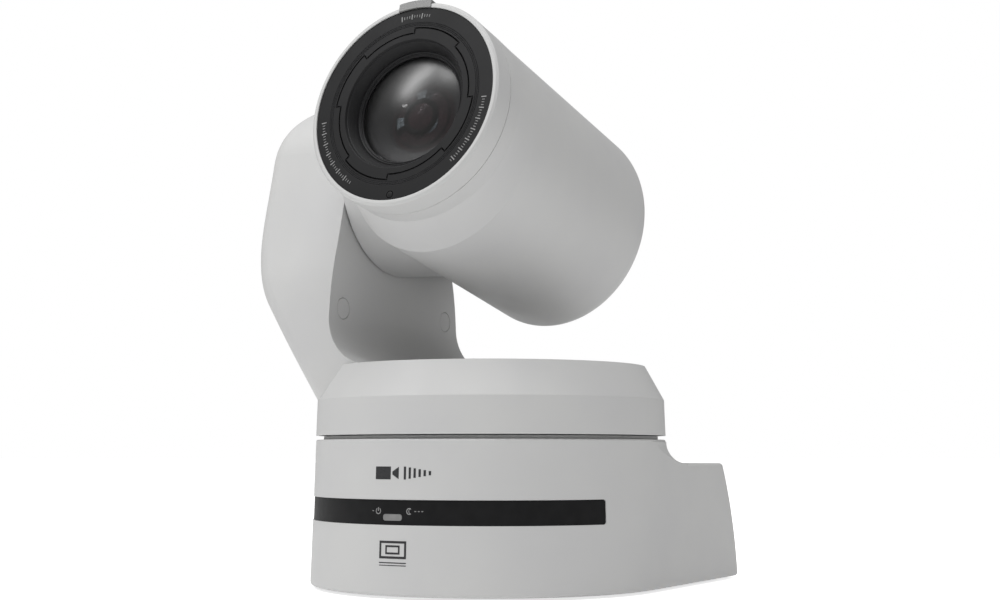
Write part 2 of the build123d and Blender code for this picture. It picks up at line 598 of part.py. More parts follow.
def make_head_front():
    chamfer = 1.1
    bezel = lens_turned([(50.6, SEAM_S + 0.05), (RING_R - 0.35, SEAM_S + 0.05), (RING_R, SEAM_S + 0.4),
                         (RING_R, FACE_S - chamfer), (RING_R - chamfer, FACE_S), (50.4, FACE_S),
                         (50.4, FACE_S - 3), (50.6, FACE_S - 3)])
    lamp = lamp_form(1.3)
    save("front_bezel", at_rest(bezel - lamp_form(0)))
    save("tally_lamp", at_rest(lamp))
    gap = 0.35
    face = along(50.3, DISC_S - 3, DISC_S) - lug_blank(gap, DISC_S - 4, DISC_S + 1)
    for radius in (40.9, 41.7, 42.5):
        groove = along(radius + 0.15, DISC_S - 0.4, DISC_S + 1)
        face -= groove - along(radius - 0.15, DISC_S - 0.5, DISC_S + 1)
    save("lens_face_ring", at_rest(face))
    lug_ring = lug_blank(0, DISC_S - 2.2, DISC_S)
    lug_ring += along(35.9, DISC_S - 9, DISC_S - 2)
    lug_ring -= lens_turned([(0, DISC_S - 10), (31.6, DISC_S - 10), (31.6, DISC_S - 7), (33.0, DISC_S - 1.2),
                             (LENS_MOUTH_R, DISC_S + 0.01), (0, DISC_S + 0.01)])
    save("hood_lug_ring", at_rest(lug_ring))
    inner_r = GLASS_R + 0.3
    retainer = lens_turned([(inner_r, 75.5), (31.5, 75.5), (31.5, 79.8), (29.4, 80.3), (inner_r, 78.9)])
    save("glass_retainer", at_rest(retainer))


def lamp_form(proud):
    """Tally lamp set into the top of the front ring."""
    back_s, front_s = FACE_S - 4.5, FACE_S + 0.3
    outer_r = RING_R + proud
    half = 9.3
    lamp = lens_turned([(49.0, back_s), (outer_r, back_s), (outer_r, front_s), (49.0, front_s)])
    lamp = lamp & slab(-half, half, back_s, front_s, 40, 60)
    return lamp - along(50.35, FACE_S - 12, FACE_S + 2)


# ---- optics
def sphere_radius(half, sag):
    return (half ** 2 + sag ** 2) / (2 * sag)


def lens_element(radius, s_edge, thick, front_sag, rear_sag):
    """Glass element: an edge cylinder with spherical caps; s_edge is its front rim."""
    rear_edge = s_edge - thick
    front_tip, rear_tip = (0, 0, s_edge + front_sag), (0, 0, rear_edge - rear_sag)
    front_rim, rear_rim = (radius, 0, s_edge), (radius, 0, rear_edge)
    front = ThreePointArc(front_tip, cap_point(radius, s_edge, front_sag), front_rim)
    side = Line(front_rim, rear_rim)
    rear = ThreePointArc(rear_rim, cap_point(radius, rear_edge, -rear_sag), rear_tip)
    axis = Line(rear_tip, front_tip)
    return Rot(90, 0, 0) * revolve(make_face(front + side + rear + axis), Axis.Z)


def cap_point(radius, s_edge, sag):
    """Point halfway out on a spherical cap."""
    ball = sphere_radius(radius, abs(sag))
    drop = ball - math.sqrt(ball ** 2 - (radius / 2) ** 2)
    return (radius / 2, 0, s_edge + math.copysign(abs(sag) - drop, sag))


def rod_holes(s0, s1, clearance):
    """Holes for the guide rods and room for the magnet bars."""
    radius = ROD_R + clearance
    holes = along(radius, s0, s1, 0, ROD_OFFSET) + along(radius, s0, s1, 0, -ROD_OFFSET)
    return holes + slab(-34, -24, s0, s1, -6, 6) + slab(24, 34, s0, s1, -6, 6)


def carriage(s0, s1, bore):
    return along(31, s0, s1) - along(bore, s0 - 1, s1 + 1) - rod_holes(s0 - 1, s1 + 1, RUN)


def make_optics():
    save("front_glass", at_rest(lens_element(GLASS_R, 78.4, 3.0, 6.0, -2.5)))
    lens_tube = along(LENS_TUBE_R, -28, 77) - along(LENS_BORE_R, -25, 80) - along(18, -30, 0)
    lens_tube += along(LENS_BORE_R + 1, 57, 59) - along(27, 50, 60)
    lens_tube -= along(ROD_R, -28, -24, 0, ROD_OFFSET) + along(ROD_R, -28, -24, 0, -ROD_OFFSET)
    save("lens_tube", at_rest(lens_tube))
    save("fixed_lens", at_rest(lens_element(29, 63, 4.0, 3.0, -1.5)))
    rods = [at_rest(along(ROD_R, -27, 56, 0, z)) for z in (-ROD_OFFSET, ROD_OFFSET)]
    save_group("guide_rods", rods)
    bars = [at_rest(slab(x0, x0 + 5, -24.5, 55, -4.5, 4.5)) for x0 in (-30.5, 25.5)]
    save_group("linear_motor_magnets", bars)
    save("zoom_carriage", at_rest(carriage(30, 38, 19)))
    save("zoom_lens", at_rest(lens_element(19, 37, 5.0, 1.5, 1.5)))
    save("focus_carriage", at_rest(carriage(-14, -6, 16)))
    save("focus_lens", at_rest(lens_element(16, -7, 5.0, 2.0, 1.0)))
    iris = along(32.7, 8, 13) - along(15, 7, 14) - rod_holes(7, 14, RUN)
    iris -= along(22, 10, 11.2)
    save("iris_unit", at_rest(iris))
    blades = along(21.8, 10.2, 11.0) - extrude(iris_mouth(), amount=6, dir=(0, -1, 0))
    save("iris_blades", at_rest(blades))


def iris_mouth():
    plane = Plane(origin=(0, -8, 0), x_dir=(1, 0, 0), z_dir=(0, -1, 0))
    return plane * RegularPolygon(8, 6)


def make_camera_block():
    holder = slab(-30, 30, -44, -40, -30, 36) - slab(-9, 9, -45, -39, -7, 7)
    holder += along(ROD_R, -40.5, -30, 0, WHEEL_Z)
    for x, z in ((-27, -24), (27, -24), (-27, 20), (27, 20)):
        holder += along(3, -40.5, -28, x, z)
    save("sensor_holder", at_rest(holder))
    wheel = along(20, -36, -33, 0, WHEEL_Z) - along(ROD_R + RUN, -37, -32, 0, WHEEL_Z)
    for hole in range(4):
        angle = math.radians(90 * hole)
        wheel -= along(5.5, -37, -32, WHEEL_Z * math.sin(angle), WHEEL_Z - WHEEL_Z * math.cos(angle))
    save("filter_wheel", at_rest(wheel))
    save("image_sensor", at_rest(slab(-8.5, 8.5, -46, -43, -6.5, 6.5)))
    save("sensor_board", at_rest(slab(-30, 30, -48, -46, -30, 30)))
    sink = slab(-26, 26, -52, -48, -26, 26)
    for fin in range(9):
        sink += slab(-26 + fin * 6.25, -24 + fin * 6.25, -64, -51, -26, 26)
    save("head_heat_sink", at_rest(sink))
    chassis = slab(-44, -41, -40, 48, -30, 20)
    for s0 in (-26, 38):
        chassis += along(41.5, s0, s0 + 7) - along(LENS_TUBE_R, s0 - 1, s0 + 8)
    chassis -= along(LENS_TUBE_R, -41, 49)
    chassis -= across(8.5, -50, -40)
    save("head_chassis", at_rest(chassis))


for make in (make_base_housing, make_base_plate, make_base_hardware, make_front_window,
             make_base_electronics, make_rear_panel, make_connectors, make_pan_drive,
             make_turntable, make_arm_frame, make_tilt_drive, make_head_housing, make_rear_cover,
             make_head_front, make_optics, make_camera_block):
    make()
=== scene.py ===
import json
import math

import bmesh
import bpy
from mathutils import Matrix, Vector


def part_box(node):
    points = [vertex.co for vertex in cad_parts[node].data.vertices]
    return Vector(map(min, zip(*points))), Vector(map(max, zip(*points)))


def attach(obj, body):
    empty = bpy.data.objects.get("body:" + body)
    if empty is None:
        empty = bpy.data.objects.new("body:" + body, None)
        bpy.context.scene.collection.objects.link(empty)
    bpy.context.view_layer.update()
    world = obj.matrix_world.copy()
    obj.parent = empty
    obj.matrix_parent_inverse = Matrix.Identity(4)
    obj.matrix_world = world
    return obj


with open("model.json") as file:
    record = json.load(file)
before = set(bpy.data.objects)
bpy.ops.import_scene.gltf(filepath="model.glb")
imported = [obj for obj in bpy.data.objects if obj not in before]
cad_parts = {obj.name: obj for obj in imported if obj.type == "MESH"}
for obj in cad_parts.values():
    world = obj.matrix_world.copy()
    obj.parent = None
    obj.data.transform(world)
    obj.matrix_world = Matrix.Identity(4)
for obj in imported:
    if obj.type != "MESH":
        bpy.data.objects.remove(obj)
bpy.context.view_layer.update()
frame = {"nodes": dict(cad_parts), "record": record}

MM = 0.001
WHITE = (1, 1, 1, 1)
NODES = frame["nodes"]
JOINTS = {joint["name"]: joint for joint in frame["record"]["behaviour"]["joints"]}


# ---- camera
CAMERA_PLACE = (0.4134, -0.7024, 0.0671)
CAMERA_TILT = 95.6              # degrees from straight down, so it looks a little upwards
CAMERA_TURN = 30.152            # degrees to the left of looking along +Y
SENSOR_WIDTH = 36.0             # mm
FOCAL_LENGTH = 56.4             # mm


def make_camera():
    data = bpy.data.cameras.new("camera")
    data.lens = FOCAL_LENGTH
    data.sensor_width = SENSOR_WIDTH
    data.clip_start = 0.01
    data.clip_end = 100.0
    camera = bpy.data.objects.new("camera", data)
    camera.location = CAMERA_PLACE
    camera.rotation_euler = (math.radians(CAMERA_TILT), 0, math.radians(CAMERA_TURN))
    bpy.context.scene.collection.objects.link(camera)
    bpy.context.scene.camera = camera


# ---- shader nodes
# A Mix node has its own sockets for each kind of data; these are the ones for colours.
COLOUR_SHARE, COLOUR_FIRST, COLOUR_SECOND, COLOUR_RESULT = 0, 6, 7, 2


def add_node(tree, kind, inputs=None, **settings):
    """New node; each input is given a value, or another node's output to link to."""
    made = tree.nodes.new(kind)
    for name, value in settings.items():
        setattr(made, name, value)
    for name, value in (inputs or {}).items():
        if isinstance(value, bpy.types.NodeSocket):
            tree.links.new(value, made.inputs[name])
        else:
            made.inputs[name].default_value = value
    return made


def map_range(tree, value, low, high, start=0.0, end=1.0):
    """Takes start to low and end to high, and no further."""
    inputs = {"Value": value, "From Min": start, "From Max": end, "To Min": low, "To Max": high}
    return add_node(tree, "ShaderNodeMapRange", inputs).outputs["Result"]


def calculate(tree, operation, first, second):
    return add_node(tree, "ShaderNodeMath", {0: first, 1: second}, operation=operation).outputs["Value"]


def mix_colours(tree, share, first, second):
    """First colour where the share is 0, second where it is 1."""
    inputs = {COLOUR_SHARE: share, COLOUR_FIRST: first, COLOUR_SECOND: second}
    return add_node(tree, "ShaderNodeMix", inputs, data_type="RGBA").outputs[COLOUR_RESULT]


# ---- studio
FLOOR_RADIUS = 20.0
FLOOR_DROP = 0.2 * MM           # keeps the floor just clear of the feet


def softbox(name, place, target, size, power):
    """Rectangular soft lamp at a place, facing a target; the camera doesn't see it."""
    data = bpy.data.lights.new(name, "AREA")
    data.shape = "RECTANGLE"
    data.size, data.size_y = size
    data.energy = power
    lamp = bpy.data.objects.new(name, data)
    lamp.location = place
    lamp.rotation_euler = (Vector(target) - Vector(place)).to_track_quat("-Z", "Y").to_euler()
    lamp.visible_camera = False
    bpy.context.scene.collection.objects.link(lamp)


def make_world():
    """Even white to the camera; as a light it is brighter overhead and on the left, and dimmer in reflections."""
    world = bpy.data.worlds.new("studio")
    bpy.context.scene.world = world
    world.use_nodes = True
    tree = world.node_tree
    direction = add_node(tree, "ShaderNodeTexCoord").outputs["Generated"]
    split = add_node(tree, "ShaderNodeSeparateXYZ", {"Vector": direction})
    rays = add_node(tree, "ShaderNodeLightPath")
    from_left = map_range(tree, split.outputs["X"], 1.12, 0.6, -0.9, 0.9)
    from_above = map_range(tree, split.outputs["Z"], 0.36, 0.85, 0.0, 0.9)
    reflected = map_range(tree, rays.outputs["Is Glossy Ray"], 1.0, 0.4)
    light = calculate(tree, "MULTIPLY", reflected, calculate(tree, "MULTIPLY", from_left, from_above))
    level = add_node(tree, "ShaderNodeMix", {"Factor": rays.outputs["Is Camera Ray"], "A": light, "B": 1.0})
    back = tree.nodes["Background"]
    back.inputs["Color"].default_value = WHITE
    tree.links.new(level.outputs["Result"], back.inputs["Strength"])


def make_floor():
    """Pale floor that glows a little, and more to the camera, so that it fades into the white world."""
    mesh = bpy.data.meshes.new("floor")
    form = bmesh.new()
    bmesh.ops.create_circle(form, cap_ends=True, segments=96, radius=FLOOR_RADIUS)
    form.to_mesh(mesh)
    form.free()
    floor = bpy.data.objects.new("floor", mesh)
    floor.location.z = -FLOOR_DROP
    bpy.context.scene.collection.objects.link(floor)
    pale = bpy.data.materials.new("pale_floor")
    pale.use_nodes = True
    tree = pale.node_tree
    shader = tree.nodes["Principled BSDF"]
    shader.inputs["Base Color"].default_value = (0.86, 0.86, 0.86, 1)
    shader.inputs["Roughness"].default_value = 0.9
    shader.inputs["Emission Color"].default_value = WHITE
    seen = add_node(tree, "ShaderNodeLightPath").outputs["Is Camera Ray"]
    tree.links.new(map_range(tree, seen, 0.15, 0.7), shader.inputs["Emission Strength"])
    pale.cycles.emission_sampling = "NONE"
    mesh.materials.append(pale)


def make_studio():
    bpy.context.scene.view_settings.view_transform = "Standard"
    make_world()
    make_floor()
    softbox("key", (-0.74, -0.77, 1.52), (0, 0, 0.2), (0.3, 0.8), 6.9)
    softbox("top", (0.15, -0.55, 2.1), (0, 0, 0.05), (1.1, 1.1), 20)


# ---- materials
def srgb(*levels):
    """Linear colour from display levels of 0 to 255."""
    linear = []
    for level in levels:
        share = level / 255
        linear.append(share / 12.92 if share <= 0.04045 else ((share + 0.055) / 1.055) ** 2.4)
    return (*linear, 1.0)


class Surface:
    """One procedural material, built up from object coordinates in metres."""

    def __init__(self, name, **constants):
        """Constants are Principled sockets with one value all over, such as Metallic or Specular_Tint."""
        self.material = bpy.data.materials.new(name)
        self.material.use_nodes = True
        self.tree = self.material.node_tree
        self.shader = self.tree.nodes["Principled BSDF"]
        self.place = self.node("ShaderNodeTexCoord").outputs["Object"]
        self.normal = None
        for socket, value in constants.items():
            self.shader.inputs[socket.replace("_", " ")].default_value = value

    def node(self, kind, inputs=None, **settings):
        return add_node(self.tree, kind, inputs, **settings)

    def noise(self, grain, detail=3.0, place=None):
        """Noise with features about one grain across."""
        inputs = {"Vector": place or self.place, "Scale": 1 / grain, "Detail": detail}
        return self.node("ShaderNodeTexNoise", inputs).outputs["Fac"]

    def spread(self, value, low, high, start=0.3, end=0.7):
        """Stretches the middle of a noise's range from low to high."""
        return map_range(self.tree, value, low, high, start, end)

    def mix(self, share, first, second):
        return mix_colours(self.tree, share, first, second)

    def times(self, first, second):
        return calculate(self.tree, "MULTIPLY", first, second)

    def soft_edges(self, radius):
        """Shades every edge as if it were rounded, and returns how near an edge a point is."""
        bevel = self.node("ShaderNodeBevel", {"Radius": radius}, samples=6)
        geometry = self.node("ShaderNodeNewGeometry")
        dot = self.node("ShaderNodeVectorMath", {0: bevel.outputs["Normal"], 1: geometry.outputs["Normal"]},
                        operation="DOT_PRODUCT")
        self.normal = bevel.outputs["Normal"]
        return self.spread(dot.outputs["Value"], 1.0, 0.0, 0.86, 0.999)

    def bump(self, height, depth):
        inputs = {"Height": height, "Distance": depth}
        if self.normal:
            inputs["Normal"] = self.normal
        self.normal = self.node("ShaderNodeBump", inputs).outputs["Normal"]

    def finish(self, colour, rough):
        self.tree.links.new(colour, self.shader.inputs["Base Color"])
        self.tree.links.new(rough, self.shader.inputs["Roughness"])
        self.tree.links.new(self.normal, self.shader.inputs["Normal"])
        return self.material


def moulded_plastic(name, colour, shade, edge_highlight, rough=0.5, grain=0.4 * MM, depth=0.012 * MM,
                    edge=0.6 * MM, **constants):
    """Spark-eroded moulding: fine even grain, faint flow mottling, edges rubbed a little smoother, and every edge
    painted paler as a painted highlight.
    """
    surface = Surface(name, **constants)
    near_edge = surface.soft_edges(edge)
    cloud = surface.noise(50 * MM, 2.0)
    speck = surface.noise(0.7 * MM, 2.0)
    tone = surface.mix(surface.spread(cloud, 0.0, 1.0), colour, shade)
    tone = surface.mix(surface.spread(speck, 0.0, 0.12, 0.45, 0.75), tone, shade)
    # painted edge highlight: every edge is painted paler than the face
    tone = surface.mix(surface.times(near_edge, 0.55), tone, edge_highlight)
    gloss = surface.spread(surface.noise(12 * MM), rough - 0.03, rough + 0.03)
    gloss = calculate(surface.tree, "SUBTRACT", gloss, surface.times(near_edge, 0.08))
    surface.bump(surface.noise(grain, 2.0), depth)
    return surface.finish(tone, gloss)


def polished_plastic(name, colour, shade, rough, **constants):
    """Smooth plastic: faint waves, an uneven shine, and edges painted towards a mid grey as a painted edge
    highlight.
    """
    surface = Surface(name, **constants)
    near_edge = surface.soft_edges(0.3 * MM)
    tone = surface.mix(surface.spread(surface.noise(6 * MM), 0.0, 1.0), colour, shade)
    # painted edge highlight: edges are painted towards a mid grey
    tone = surface.mix(surface.times(near_edge, 0.3), tone, srgb(120, 120, 122))
    gloss = surface.spread(surface.noise(3 * MM, 4.0), rough, rough + 0.05)
    surface.bump(surface.noise(10 * MM, 1.0), 0.01 * MM)
    return surface.finish(tone, gloss)


def machined_metal(name, colour, shade, rough, streak=(1, 1, 1)):
    """Bare or plated metal with cutter streaks, finer along the axes where the streak's numbers are larger."""
    surface = Surface(name, Metallic=1.0)
    near_edge = surface.soft_edges(0.2 * MM)
    squeezed = surface.node("ShaderNodeMapping", {"Vector": surface.place, "Scale": streak})
    lines = surface.noise(0.5 * MM, place=squeezed.outputs["Vector"])
    tone = surface.mix(surface.spread(lines, 0.0, 1.0), colour, shade)
    # painted edge highlight: edges are painted pale
    tone = surface.mix(surface.times(near_edge, 0.4), tone, srgb(235, 235, 235))
    surface.bump(lines, 0.008 * MM)
    return surface.finish(tone, surface.spread(surface.noise(4 * MM), rough, rough + 0.12))


def cast_metal(name, colour, shade):
    """Die-cast skin: coarse and dull, with its edges painted a little paler as a painted highlight."""
    surface = Surface(name, Metallic=1.0)
    near_edge = surface.soft_edges(0.5 * MM)
    skin = surface.noise(1.1 * MM, 4.0)
    tone = surface.mix(surface.spread(skin, 0.0, 1.0), colour, shade)
    # painted edge highlight: edges are painted paler
    tone = surface.mix(near_edge, tone, srgb(205, 205, 208))
    surface.bump(skin, 0.08 * MM)
    return surface.finish(tone, surface.spread(surface.noise(10 * MM), 0.42, 0.6))


def rubber(name):
    """Matt black rubber with its edges painted paler as a painted highlight."""
    surface = Surface(name)
    near_edge = surface.soft_edges(0.4 * MM)
    cloud = surface.noise(2 * MM, 4.0)
    tone = surface.mix(surface.spread(cloud, 0.0, 1.0), srgb(38, 38, 38), srgb(52, 51, 50))
    # painted edge highlight: edges are painted paler
    tone = surface.mix(surface.times(near_edge, 0.5), tone, srgb(80, 79, 77))
    surface.bump(surface.noise(0.5 * MM), 0.04 * MM)
    return surface.finish(tone, surface.spread(surface.noise(4 * MM), 0.72, 0.88))


def circuit_board(name):
    """Solder mask over copper tracks: the tracks are cells' borders, and the pads are bare."""
    surface = Surface(name)
    cells = surface.node("ShaderNodeTexVoronoi", {"Vector": surface.place, "Scale": 260.0},
                         feature="DISTANCE_TO_EDGE", distance="CHEBYCHEV")
    track = surface.spread(cells.outputs["Distance"], 1.0, 0.0, 0.03, 0.06)
    pads = surface.node("ShaderNodeTexVoronoi", {"Vector": surface.place, "Scale": 420.0})
    bare = surface.spread(pads.outputs["Distance"], 1.0, 0.0, 0.12, 0.15)
    tone = surface.mix(track, srgb(16, 78, 48), srgb(30, 108, 66))
    tone = surface.mix(bare, tone, srgb(196, 176, 110))
    surface.bump(track, 0.03 * MM)
    return surface.finish(tone, surface.spread(surface.noise(10 * MM), 0.3, 0.42))


def coated_glass(name, tint, rough, ior):
    """Optical glass, tinted to look through but open to the lamps; its outside mirrors, most at the edge."""
    material = bpy.data.materials.new(name)
    material.use_nodes = True
    tree = material.node_tree
    tree.nodes.clear()
    place = add_node(tree, "ShaderNodeTexCoord").outputs["Object"]
    bloom = add_node(tree, "ShaderNodeTexNoise", {"Vector": place, "Scale": 120.0, "Detail": 4.0})
    haze = map_range(tree, bloom.outputs["Fac"], rough - 0.01, rough + 0.02)
    backfacing = add_node(tree, "ShaderNodeNewGeometry").outputs["Backfacing"]
    tinted = mix_colours(tree, backfacing, tint, WHITE)
    fresnel = add_node(tree, "ShaderNodeFresnel", {"IOR": ior}).outputs["Fac"]
    mirrored = calculate(tree, "MULTIPLY", fresnel, map_range(tree, backfacing, 1.0, 0.0))
    clear = add_node(tree, "ShaderNodeBsdfTransparent", {"Color": tinted}).outputs["BSDF"]
    mirror = add_node(tree, "ShaderNodeBsdfGlossy", {"Roughness": haze}).outputs["BSDF"]
    glass = add_node(tree, "ShaderNodeMixShader", {0: mirrored, 1: clear, 2: mirror}).outputs["Shader"]
    shadow_ray = add_node(tree, "ShaderNodeLightPath").outputs["Is Shadow Ray"]
    untinted = add_node(tree, "ShaderNodeBsdfTransparent").outputs["BSDF"]
    whole = add_node(tree, "ShaderNodeMixShader", {0: shadow_ray, 1: glass, 2: untinted}).outputs["Shader"]
    add_node(tree, "ShaderNodeOutputMaterial", {"Surface": whole})
    return material


def printed_ink(name, colour, shade):
    """Pad-printed ink: slightly uneven cover and a satin surface."""
    surface = Surface(name)
    tone = surface.mix(surface.spread(surface.noise(0.9 * MM, 4.0), 0.0, 1.0), colour, shade)
    surface.bump(surface.noise(0.3 * MM), 0.006 * MM)
    return surface.finish(tone, surface.spread(surface.noise(2 * MM), 0.45, 0.6))


def make_materials():
    """One material for each slot of the record, and then those that only the added pieces have."""
    return {
        "white_shell": moulded_plastic("white_shell", srgb(198, 198, 197), srgb(194, 194, 194),
                                       srgb(208, 208, 207)),
        "black_trim": moulded_plastic("black_trim", srgb(30, 30, 31), srgb(35, 35, 36), srgb(60, 60, 62),
                                      grain=0.5 * MM, depth=0.02 * MM, edge=0.4 * MM,
                                      Specular_IOR_Level=0.22),
        "smoked_window": polished_plastic("smoked_window", srgb(20, 20, 21), srgb(26, 26, 27), 0.42,
                                          Specular_IOR_Level=0.16),
        "lamp_diffuser": polished_plastic("lamp_diffuser", srgb(120, 120, 120), srgb(132, 132, 131), 0.28),
        "lens_glass": coated_glass("lens_glass", (0.25, 0.25, 0.255, 1), 0.3, 1.9),
        "foot_rubber": rubber("foot_rubber"),
        "cast_aluminium": cast_metal("cast_aluminium", srgb(150, 151, 154), srgb(172, 172, 175)),
        "steel": machined_metal("steel", srgb(150, 150, 152), srgb(182, 182, 184), 0.28, (1, 1, 12)),
        "gear_brass": machined_metal("gear_brass", srgb(196, 160, 92), srgb(214, 182, 118), 0.26, (1, 1, 10)),
        "gear_plastic": moulded_plastic("gear_plastic", srgb(226, 222, 208), srgb(216, 212, 196),
                                        srgb(240, 238, 228), 0.42, grain=0.6 * MM),
        "nickel": machined_metal("nickel", srgb(196, 194, 188), srgb(214, 212, 206), 0.16, (12, 1, 1)),
        "panel_grey": moulded_plastic("panel_grey", srgb(62, 63, 65), srgb(70, 71, 73), srgb(112, 112, 114),
                                      0.55, grain=0.8 * MM, depth=0.04 * MM),
        "inlet_black": moulded_plastic("inlet_black", srgb(30, 30, 30), srgb(36, 36, 36), srgb(70, 70, 70),
                                       0.4),
        "circuit_board": circuit_board("circuit_board"),
        "sensor_chip": polished_plastic("sensor_chip", srgb(30, 26, 44), srgb(44, 38, 60), 0.08),
        "dark_ink": printed_ink("dark_ink", srgb(34, 34, 36), srgb(46, 46, 48)),
        "grey_ink": printed_ink("grey_ink", srgb(150, 150, 150), srgb(128, 128, 128)),
        "index_black": polished_plastic("index_black", srgb(20, 20, 21), srgb(26, 26, 26), 0.4,
                                        Specular_IOR_Level=0.3),
        # painted shade: near-black without shine, laid on joints and grooves where shadow would fall
        "groove_shade_black": polished_plastic("groove_shade_black", srgb(3, 3, 3), srgb(6, 6, 6), 0.8,
                                         Specular_IOR_Level=0.0),
        "lens_black": moulded_plastic("lens_black", srgb(12, 12, 13), srgb(18, 18, 18), srgb(40, 40, 41),
                                      0.55, grain=0.5 * MM, depth=0.02 * MM, edge=0.3 * MM,
                                      Specular_IOR_Level=0.3),
        "coated_element": polished_plastic("coated_element", srgb(92, 76, 79), srgb(118, 88, 93), 0.12,
                                           Specular_Tint=(0.9, 0.75, 0.8, 1)),
        # painted reflection: near-white bluish plastic that stands in for studio reflections inside the lens
        "reflection_blue": polished_plastic("reflection_blue", srgb(228, 243, 250), srgb(206, 224, 234), 0.35),
        "cell_grey": moulded_plastic("cell_grey", srgb(84, 84, 86), srgb(104, 104, 106), srgb(130, 130, 132)),
        "dark_steel": machined_metal("dark_steel", srgb(70, 70, 72), srgb(92, 92, 94), 0.34),
        "gold": machined_metal("gold", srgb(214, 176, 98), srgb(226, 194, 120), 0.2),
    }


def paint_nodes():
    """Gives each CAD node the material of its slot in the record."""
    for row in frame["record"]["subparts"]:
        NODES[row["node"]].material_slots[0].material = MATERIALS[row["material_slot"]]


# ---- mesh helpers
SHARP_ANGLE = 35                # degrees; faces that meet at more than this keep a hard edge
TILT_CENTRE = Vector(JOINTS["tilt"]["pos_m"])
FORWARD = Vector(JOINTS["zoom_slide"]["axis"]).normalized()
SIDE = Vector((1, 0, 0))
HEAD_UP = FORWARD.cross(SIDE)


def in_head(x, s, z):
    """Point of the head, s metres ahead of the tilt axis along the lens axis."""
    return TILT_CENTRE + SIDE * x + FORWARD * s + HEAD_UP * z


def on_lens_face(s):
    """Places (angle, radius, lift) on the plane that faces forward at s."""
    def place(angle, radius, lift):
        return in_head(radius * math.cos(angle), s + lift, radius * math.sin(angle))
    return place


def ring_front():
    """How far ahead of the tilt axis the black ring round the lens reaches."""
    return max((vertex.co - TILT_CENTRE).dot(FORWARD) for vertex in NODES["lens_face_ring"].data.vertices)


def in_metres(profile):
    return [(radius * MM, s * MM) for radius, s in profile]


def add_piece(name, form, body, material):
    """Turns a bmesh form into a smooth-shaded piece that rides on a body."""
    bmesh.ops.remove_doubles(form, verts=form.verts, dist=1e-7)
    bmesh.ops.recalc_face_normals(form, faces=form.faces)
    mesh = bpy.data.meshes.new(name)
    form.to_mesh(mesh)
    form.free()
    mesh.polygons.foreach_set("use_smooth", [True] * len(mesh.polygons))
    mesh.set_sharp_from_angle(angle=math.radians(SHARP_ANGLE))
    mesh.materials.append(MATERIALS[material])
    piece = bpy.data.objects.new(name, mesh)
    bpy.context.scene.collection.objects.link(piece)
    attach(piece, body)


def plate(form, place, u_range, v_range, lifts, steps=(1, 1)):
    """Closed thin plate over a rectangle of (u, v), bent by place(u, v, lift)."""
    grid = []
    for lift in lifts:
        rows = []
        for i in range(steps[0] + 1):
            u = u_range[0] + (u_range[1] - u_range[0]) * i / steps[0]
            row = []
            for j in range(steps[1] + 1):
                v = v_range[0] + (v_range[1] - v_range[0]) * j / steps[1]
                row.append(form.verts.new(place(u, v, lift)))
            rows.append(row)
        grid.append(rows)
    last_u, last_v = steps
    for rows in grid:
        for i in range(last_u):
            for j in range(last_v):
                form.faces.new((rows[i][j], rows[i + 1][j], rows[i + 1][j + 1], rows[i][j + 1]))
    low, high = grid
    for i in range(last_u):
        for j in (0, last_v):
            form.faces.new((low[i][j], low[i + 1][j], high[i + 1][j], high[i][j]))
    for j in range(last_v):
        for i in (0, last_u):
            form.faces.new((low[i][j], low[i][j + 1], high[i][j + 1], high[i][j]))


def turned(form, profile, place, segments=96):
    """Closed ring: a closed (radius, s) profile swept round the lens axis by place(angle, radius, s)."""
    rings = []
    for k in range(segments):
        angle = 2 * math.pi * k / segments
        rings.append([form.verts.new(place(angle, radius, s)) for radius, s in profile])
    count = len(profile)
    for k in range(segments):
        here, there = rings[k], rings[(k + 1) % segments]
        for i in range(count):
            after = (i + 1) % count
            form.faces.new((here[i], here[after], there[after], there[i]))


def circle(form, centre, side, up, radius, segments):
    """Vertices round a centre, in the plane of side and up."""
    ring = []
    for k in range(segments):
        angle = 2 * math.pi * k / segments
        ring.append(form.verts.new(centre + side * (radius * math.cos(angle)) + up * (radius * math.sin(angle))))
    return ring


def domed(form, centre, axis, radius, depth, crown, segments=64, rings=10):
    """Closed round button: flat back at the centre, straight rim, and a front that bulges by the crown."""
    up = axis.cross(SIDE)
    loops = [circle(form, centre, SIDE, up, radius, segments)]
    form.faces.new(list(reversed(loops[0])))
    for ring in range(rings):
        share = 1 - ring / rings
        level = centre + axis * (depth + crown * (1 - share ** 2))
        loops.append(circle(form, level, SIDE, up, radius * share, segments))
    tip = form.verts.new(centre + axis * (depth + crown))
    for lower, upper in zip(loops, loops[1:]):
        for k in range(segments):
            after = (k + 1) % segments
            form.faces.new((lower[k], lower[after], upper[after], upper[k]))
    for k in range(segments):
        form.faces.new((loops[-1][k], loops[-1][(k + 1) % segments], tip))


def box_form(form, low, high, bevel):
    """Block between two corners, with its edges rounded."""
    corners = [form.verts.new((x, y, z)) for x in (low[0], high[0]) for y in (low[1], high[1])
               for z in (low[2], high[2])]
    quads = ((0, 1, 3, 2), (4, 6, 7, 5), (0, 4, 5, 1), (2, 3, 7, 6), (0, 2, 6, 4), (1, 5, 7, 3))
    faces = [form.faces.new([corners[i] for i in quad]) for quad in quads]
    edges = list({edge for face in faces for edge in face.edges})
    bmesh.ops.bevel(form, geom=edges, offset=bevel, segments=2, profile=0.5, affect="EDGES")


# ---- printed marks
INK = 0.06 * MM                 # thickness of printed ink
BOTH_SIDES = (-INK, INK)        # ink also sinks a little into the surface, so that it leaves no gap
SHELL_PAST_SEAL = 3.9 * MM      # how far the top of the base's shell stands outside the dust seal
WINDOW_SUNK = 0.45 * MM         # how far the window lies under the shell's surface
POWER_ARC = (125, 415)          # degrees; the ring of a power sign, open at its top


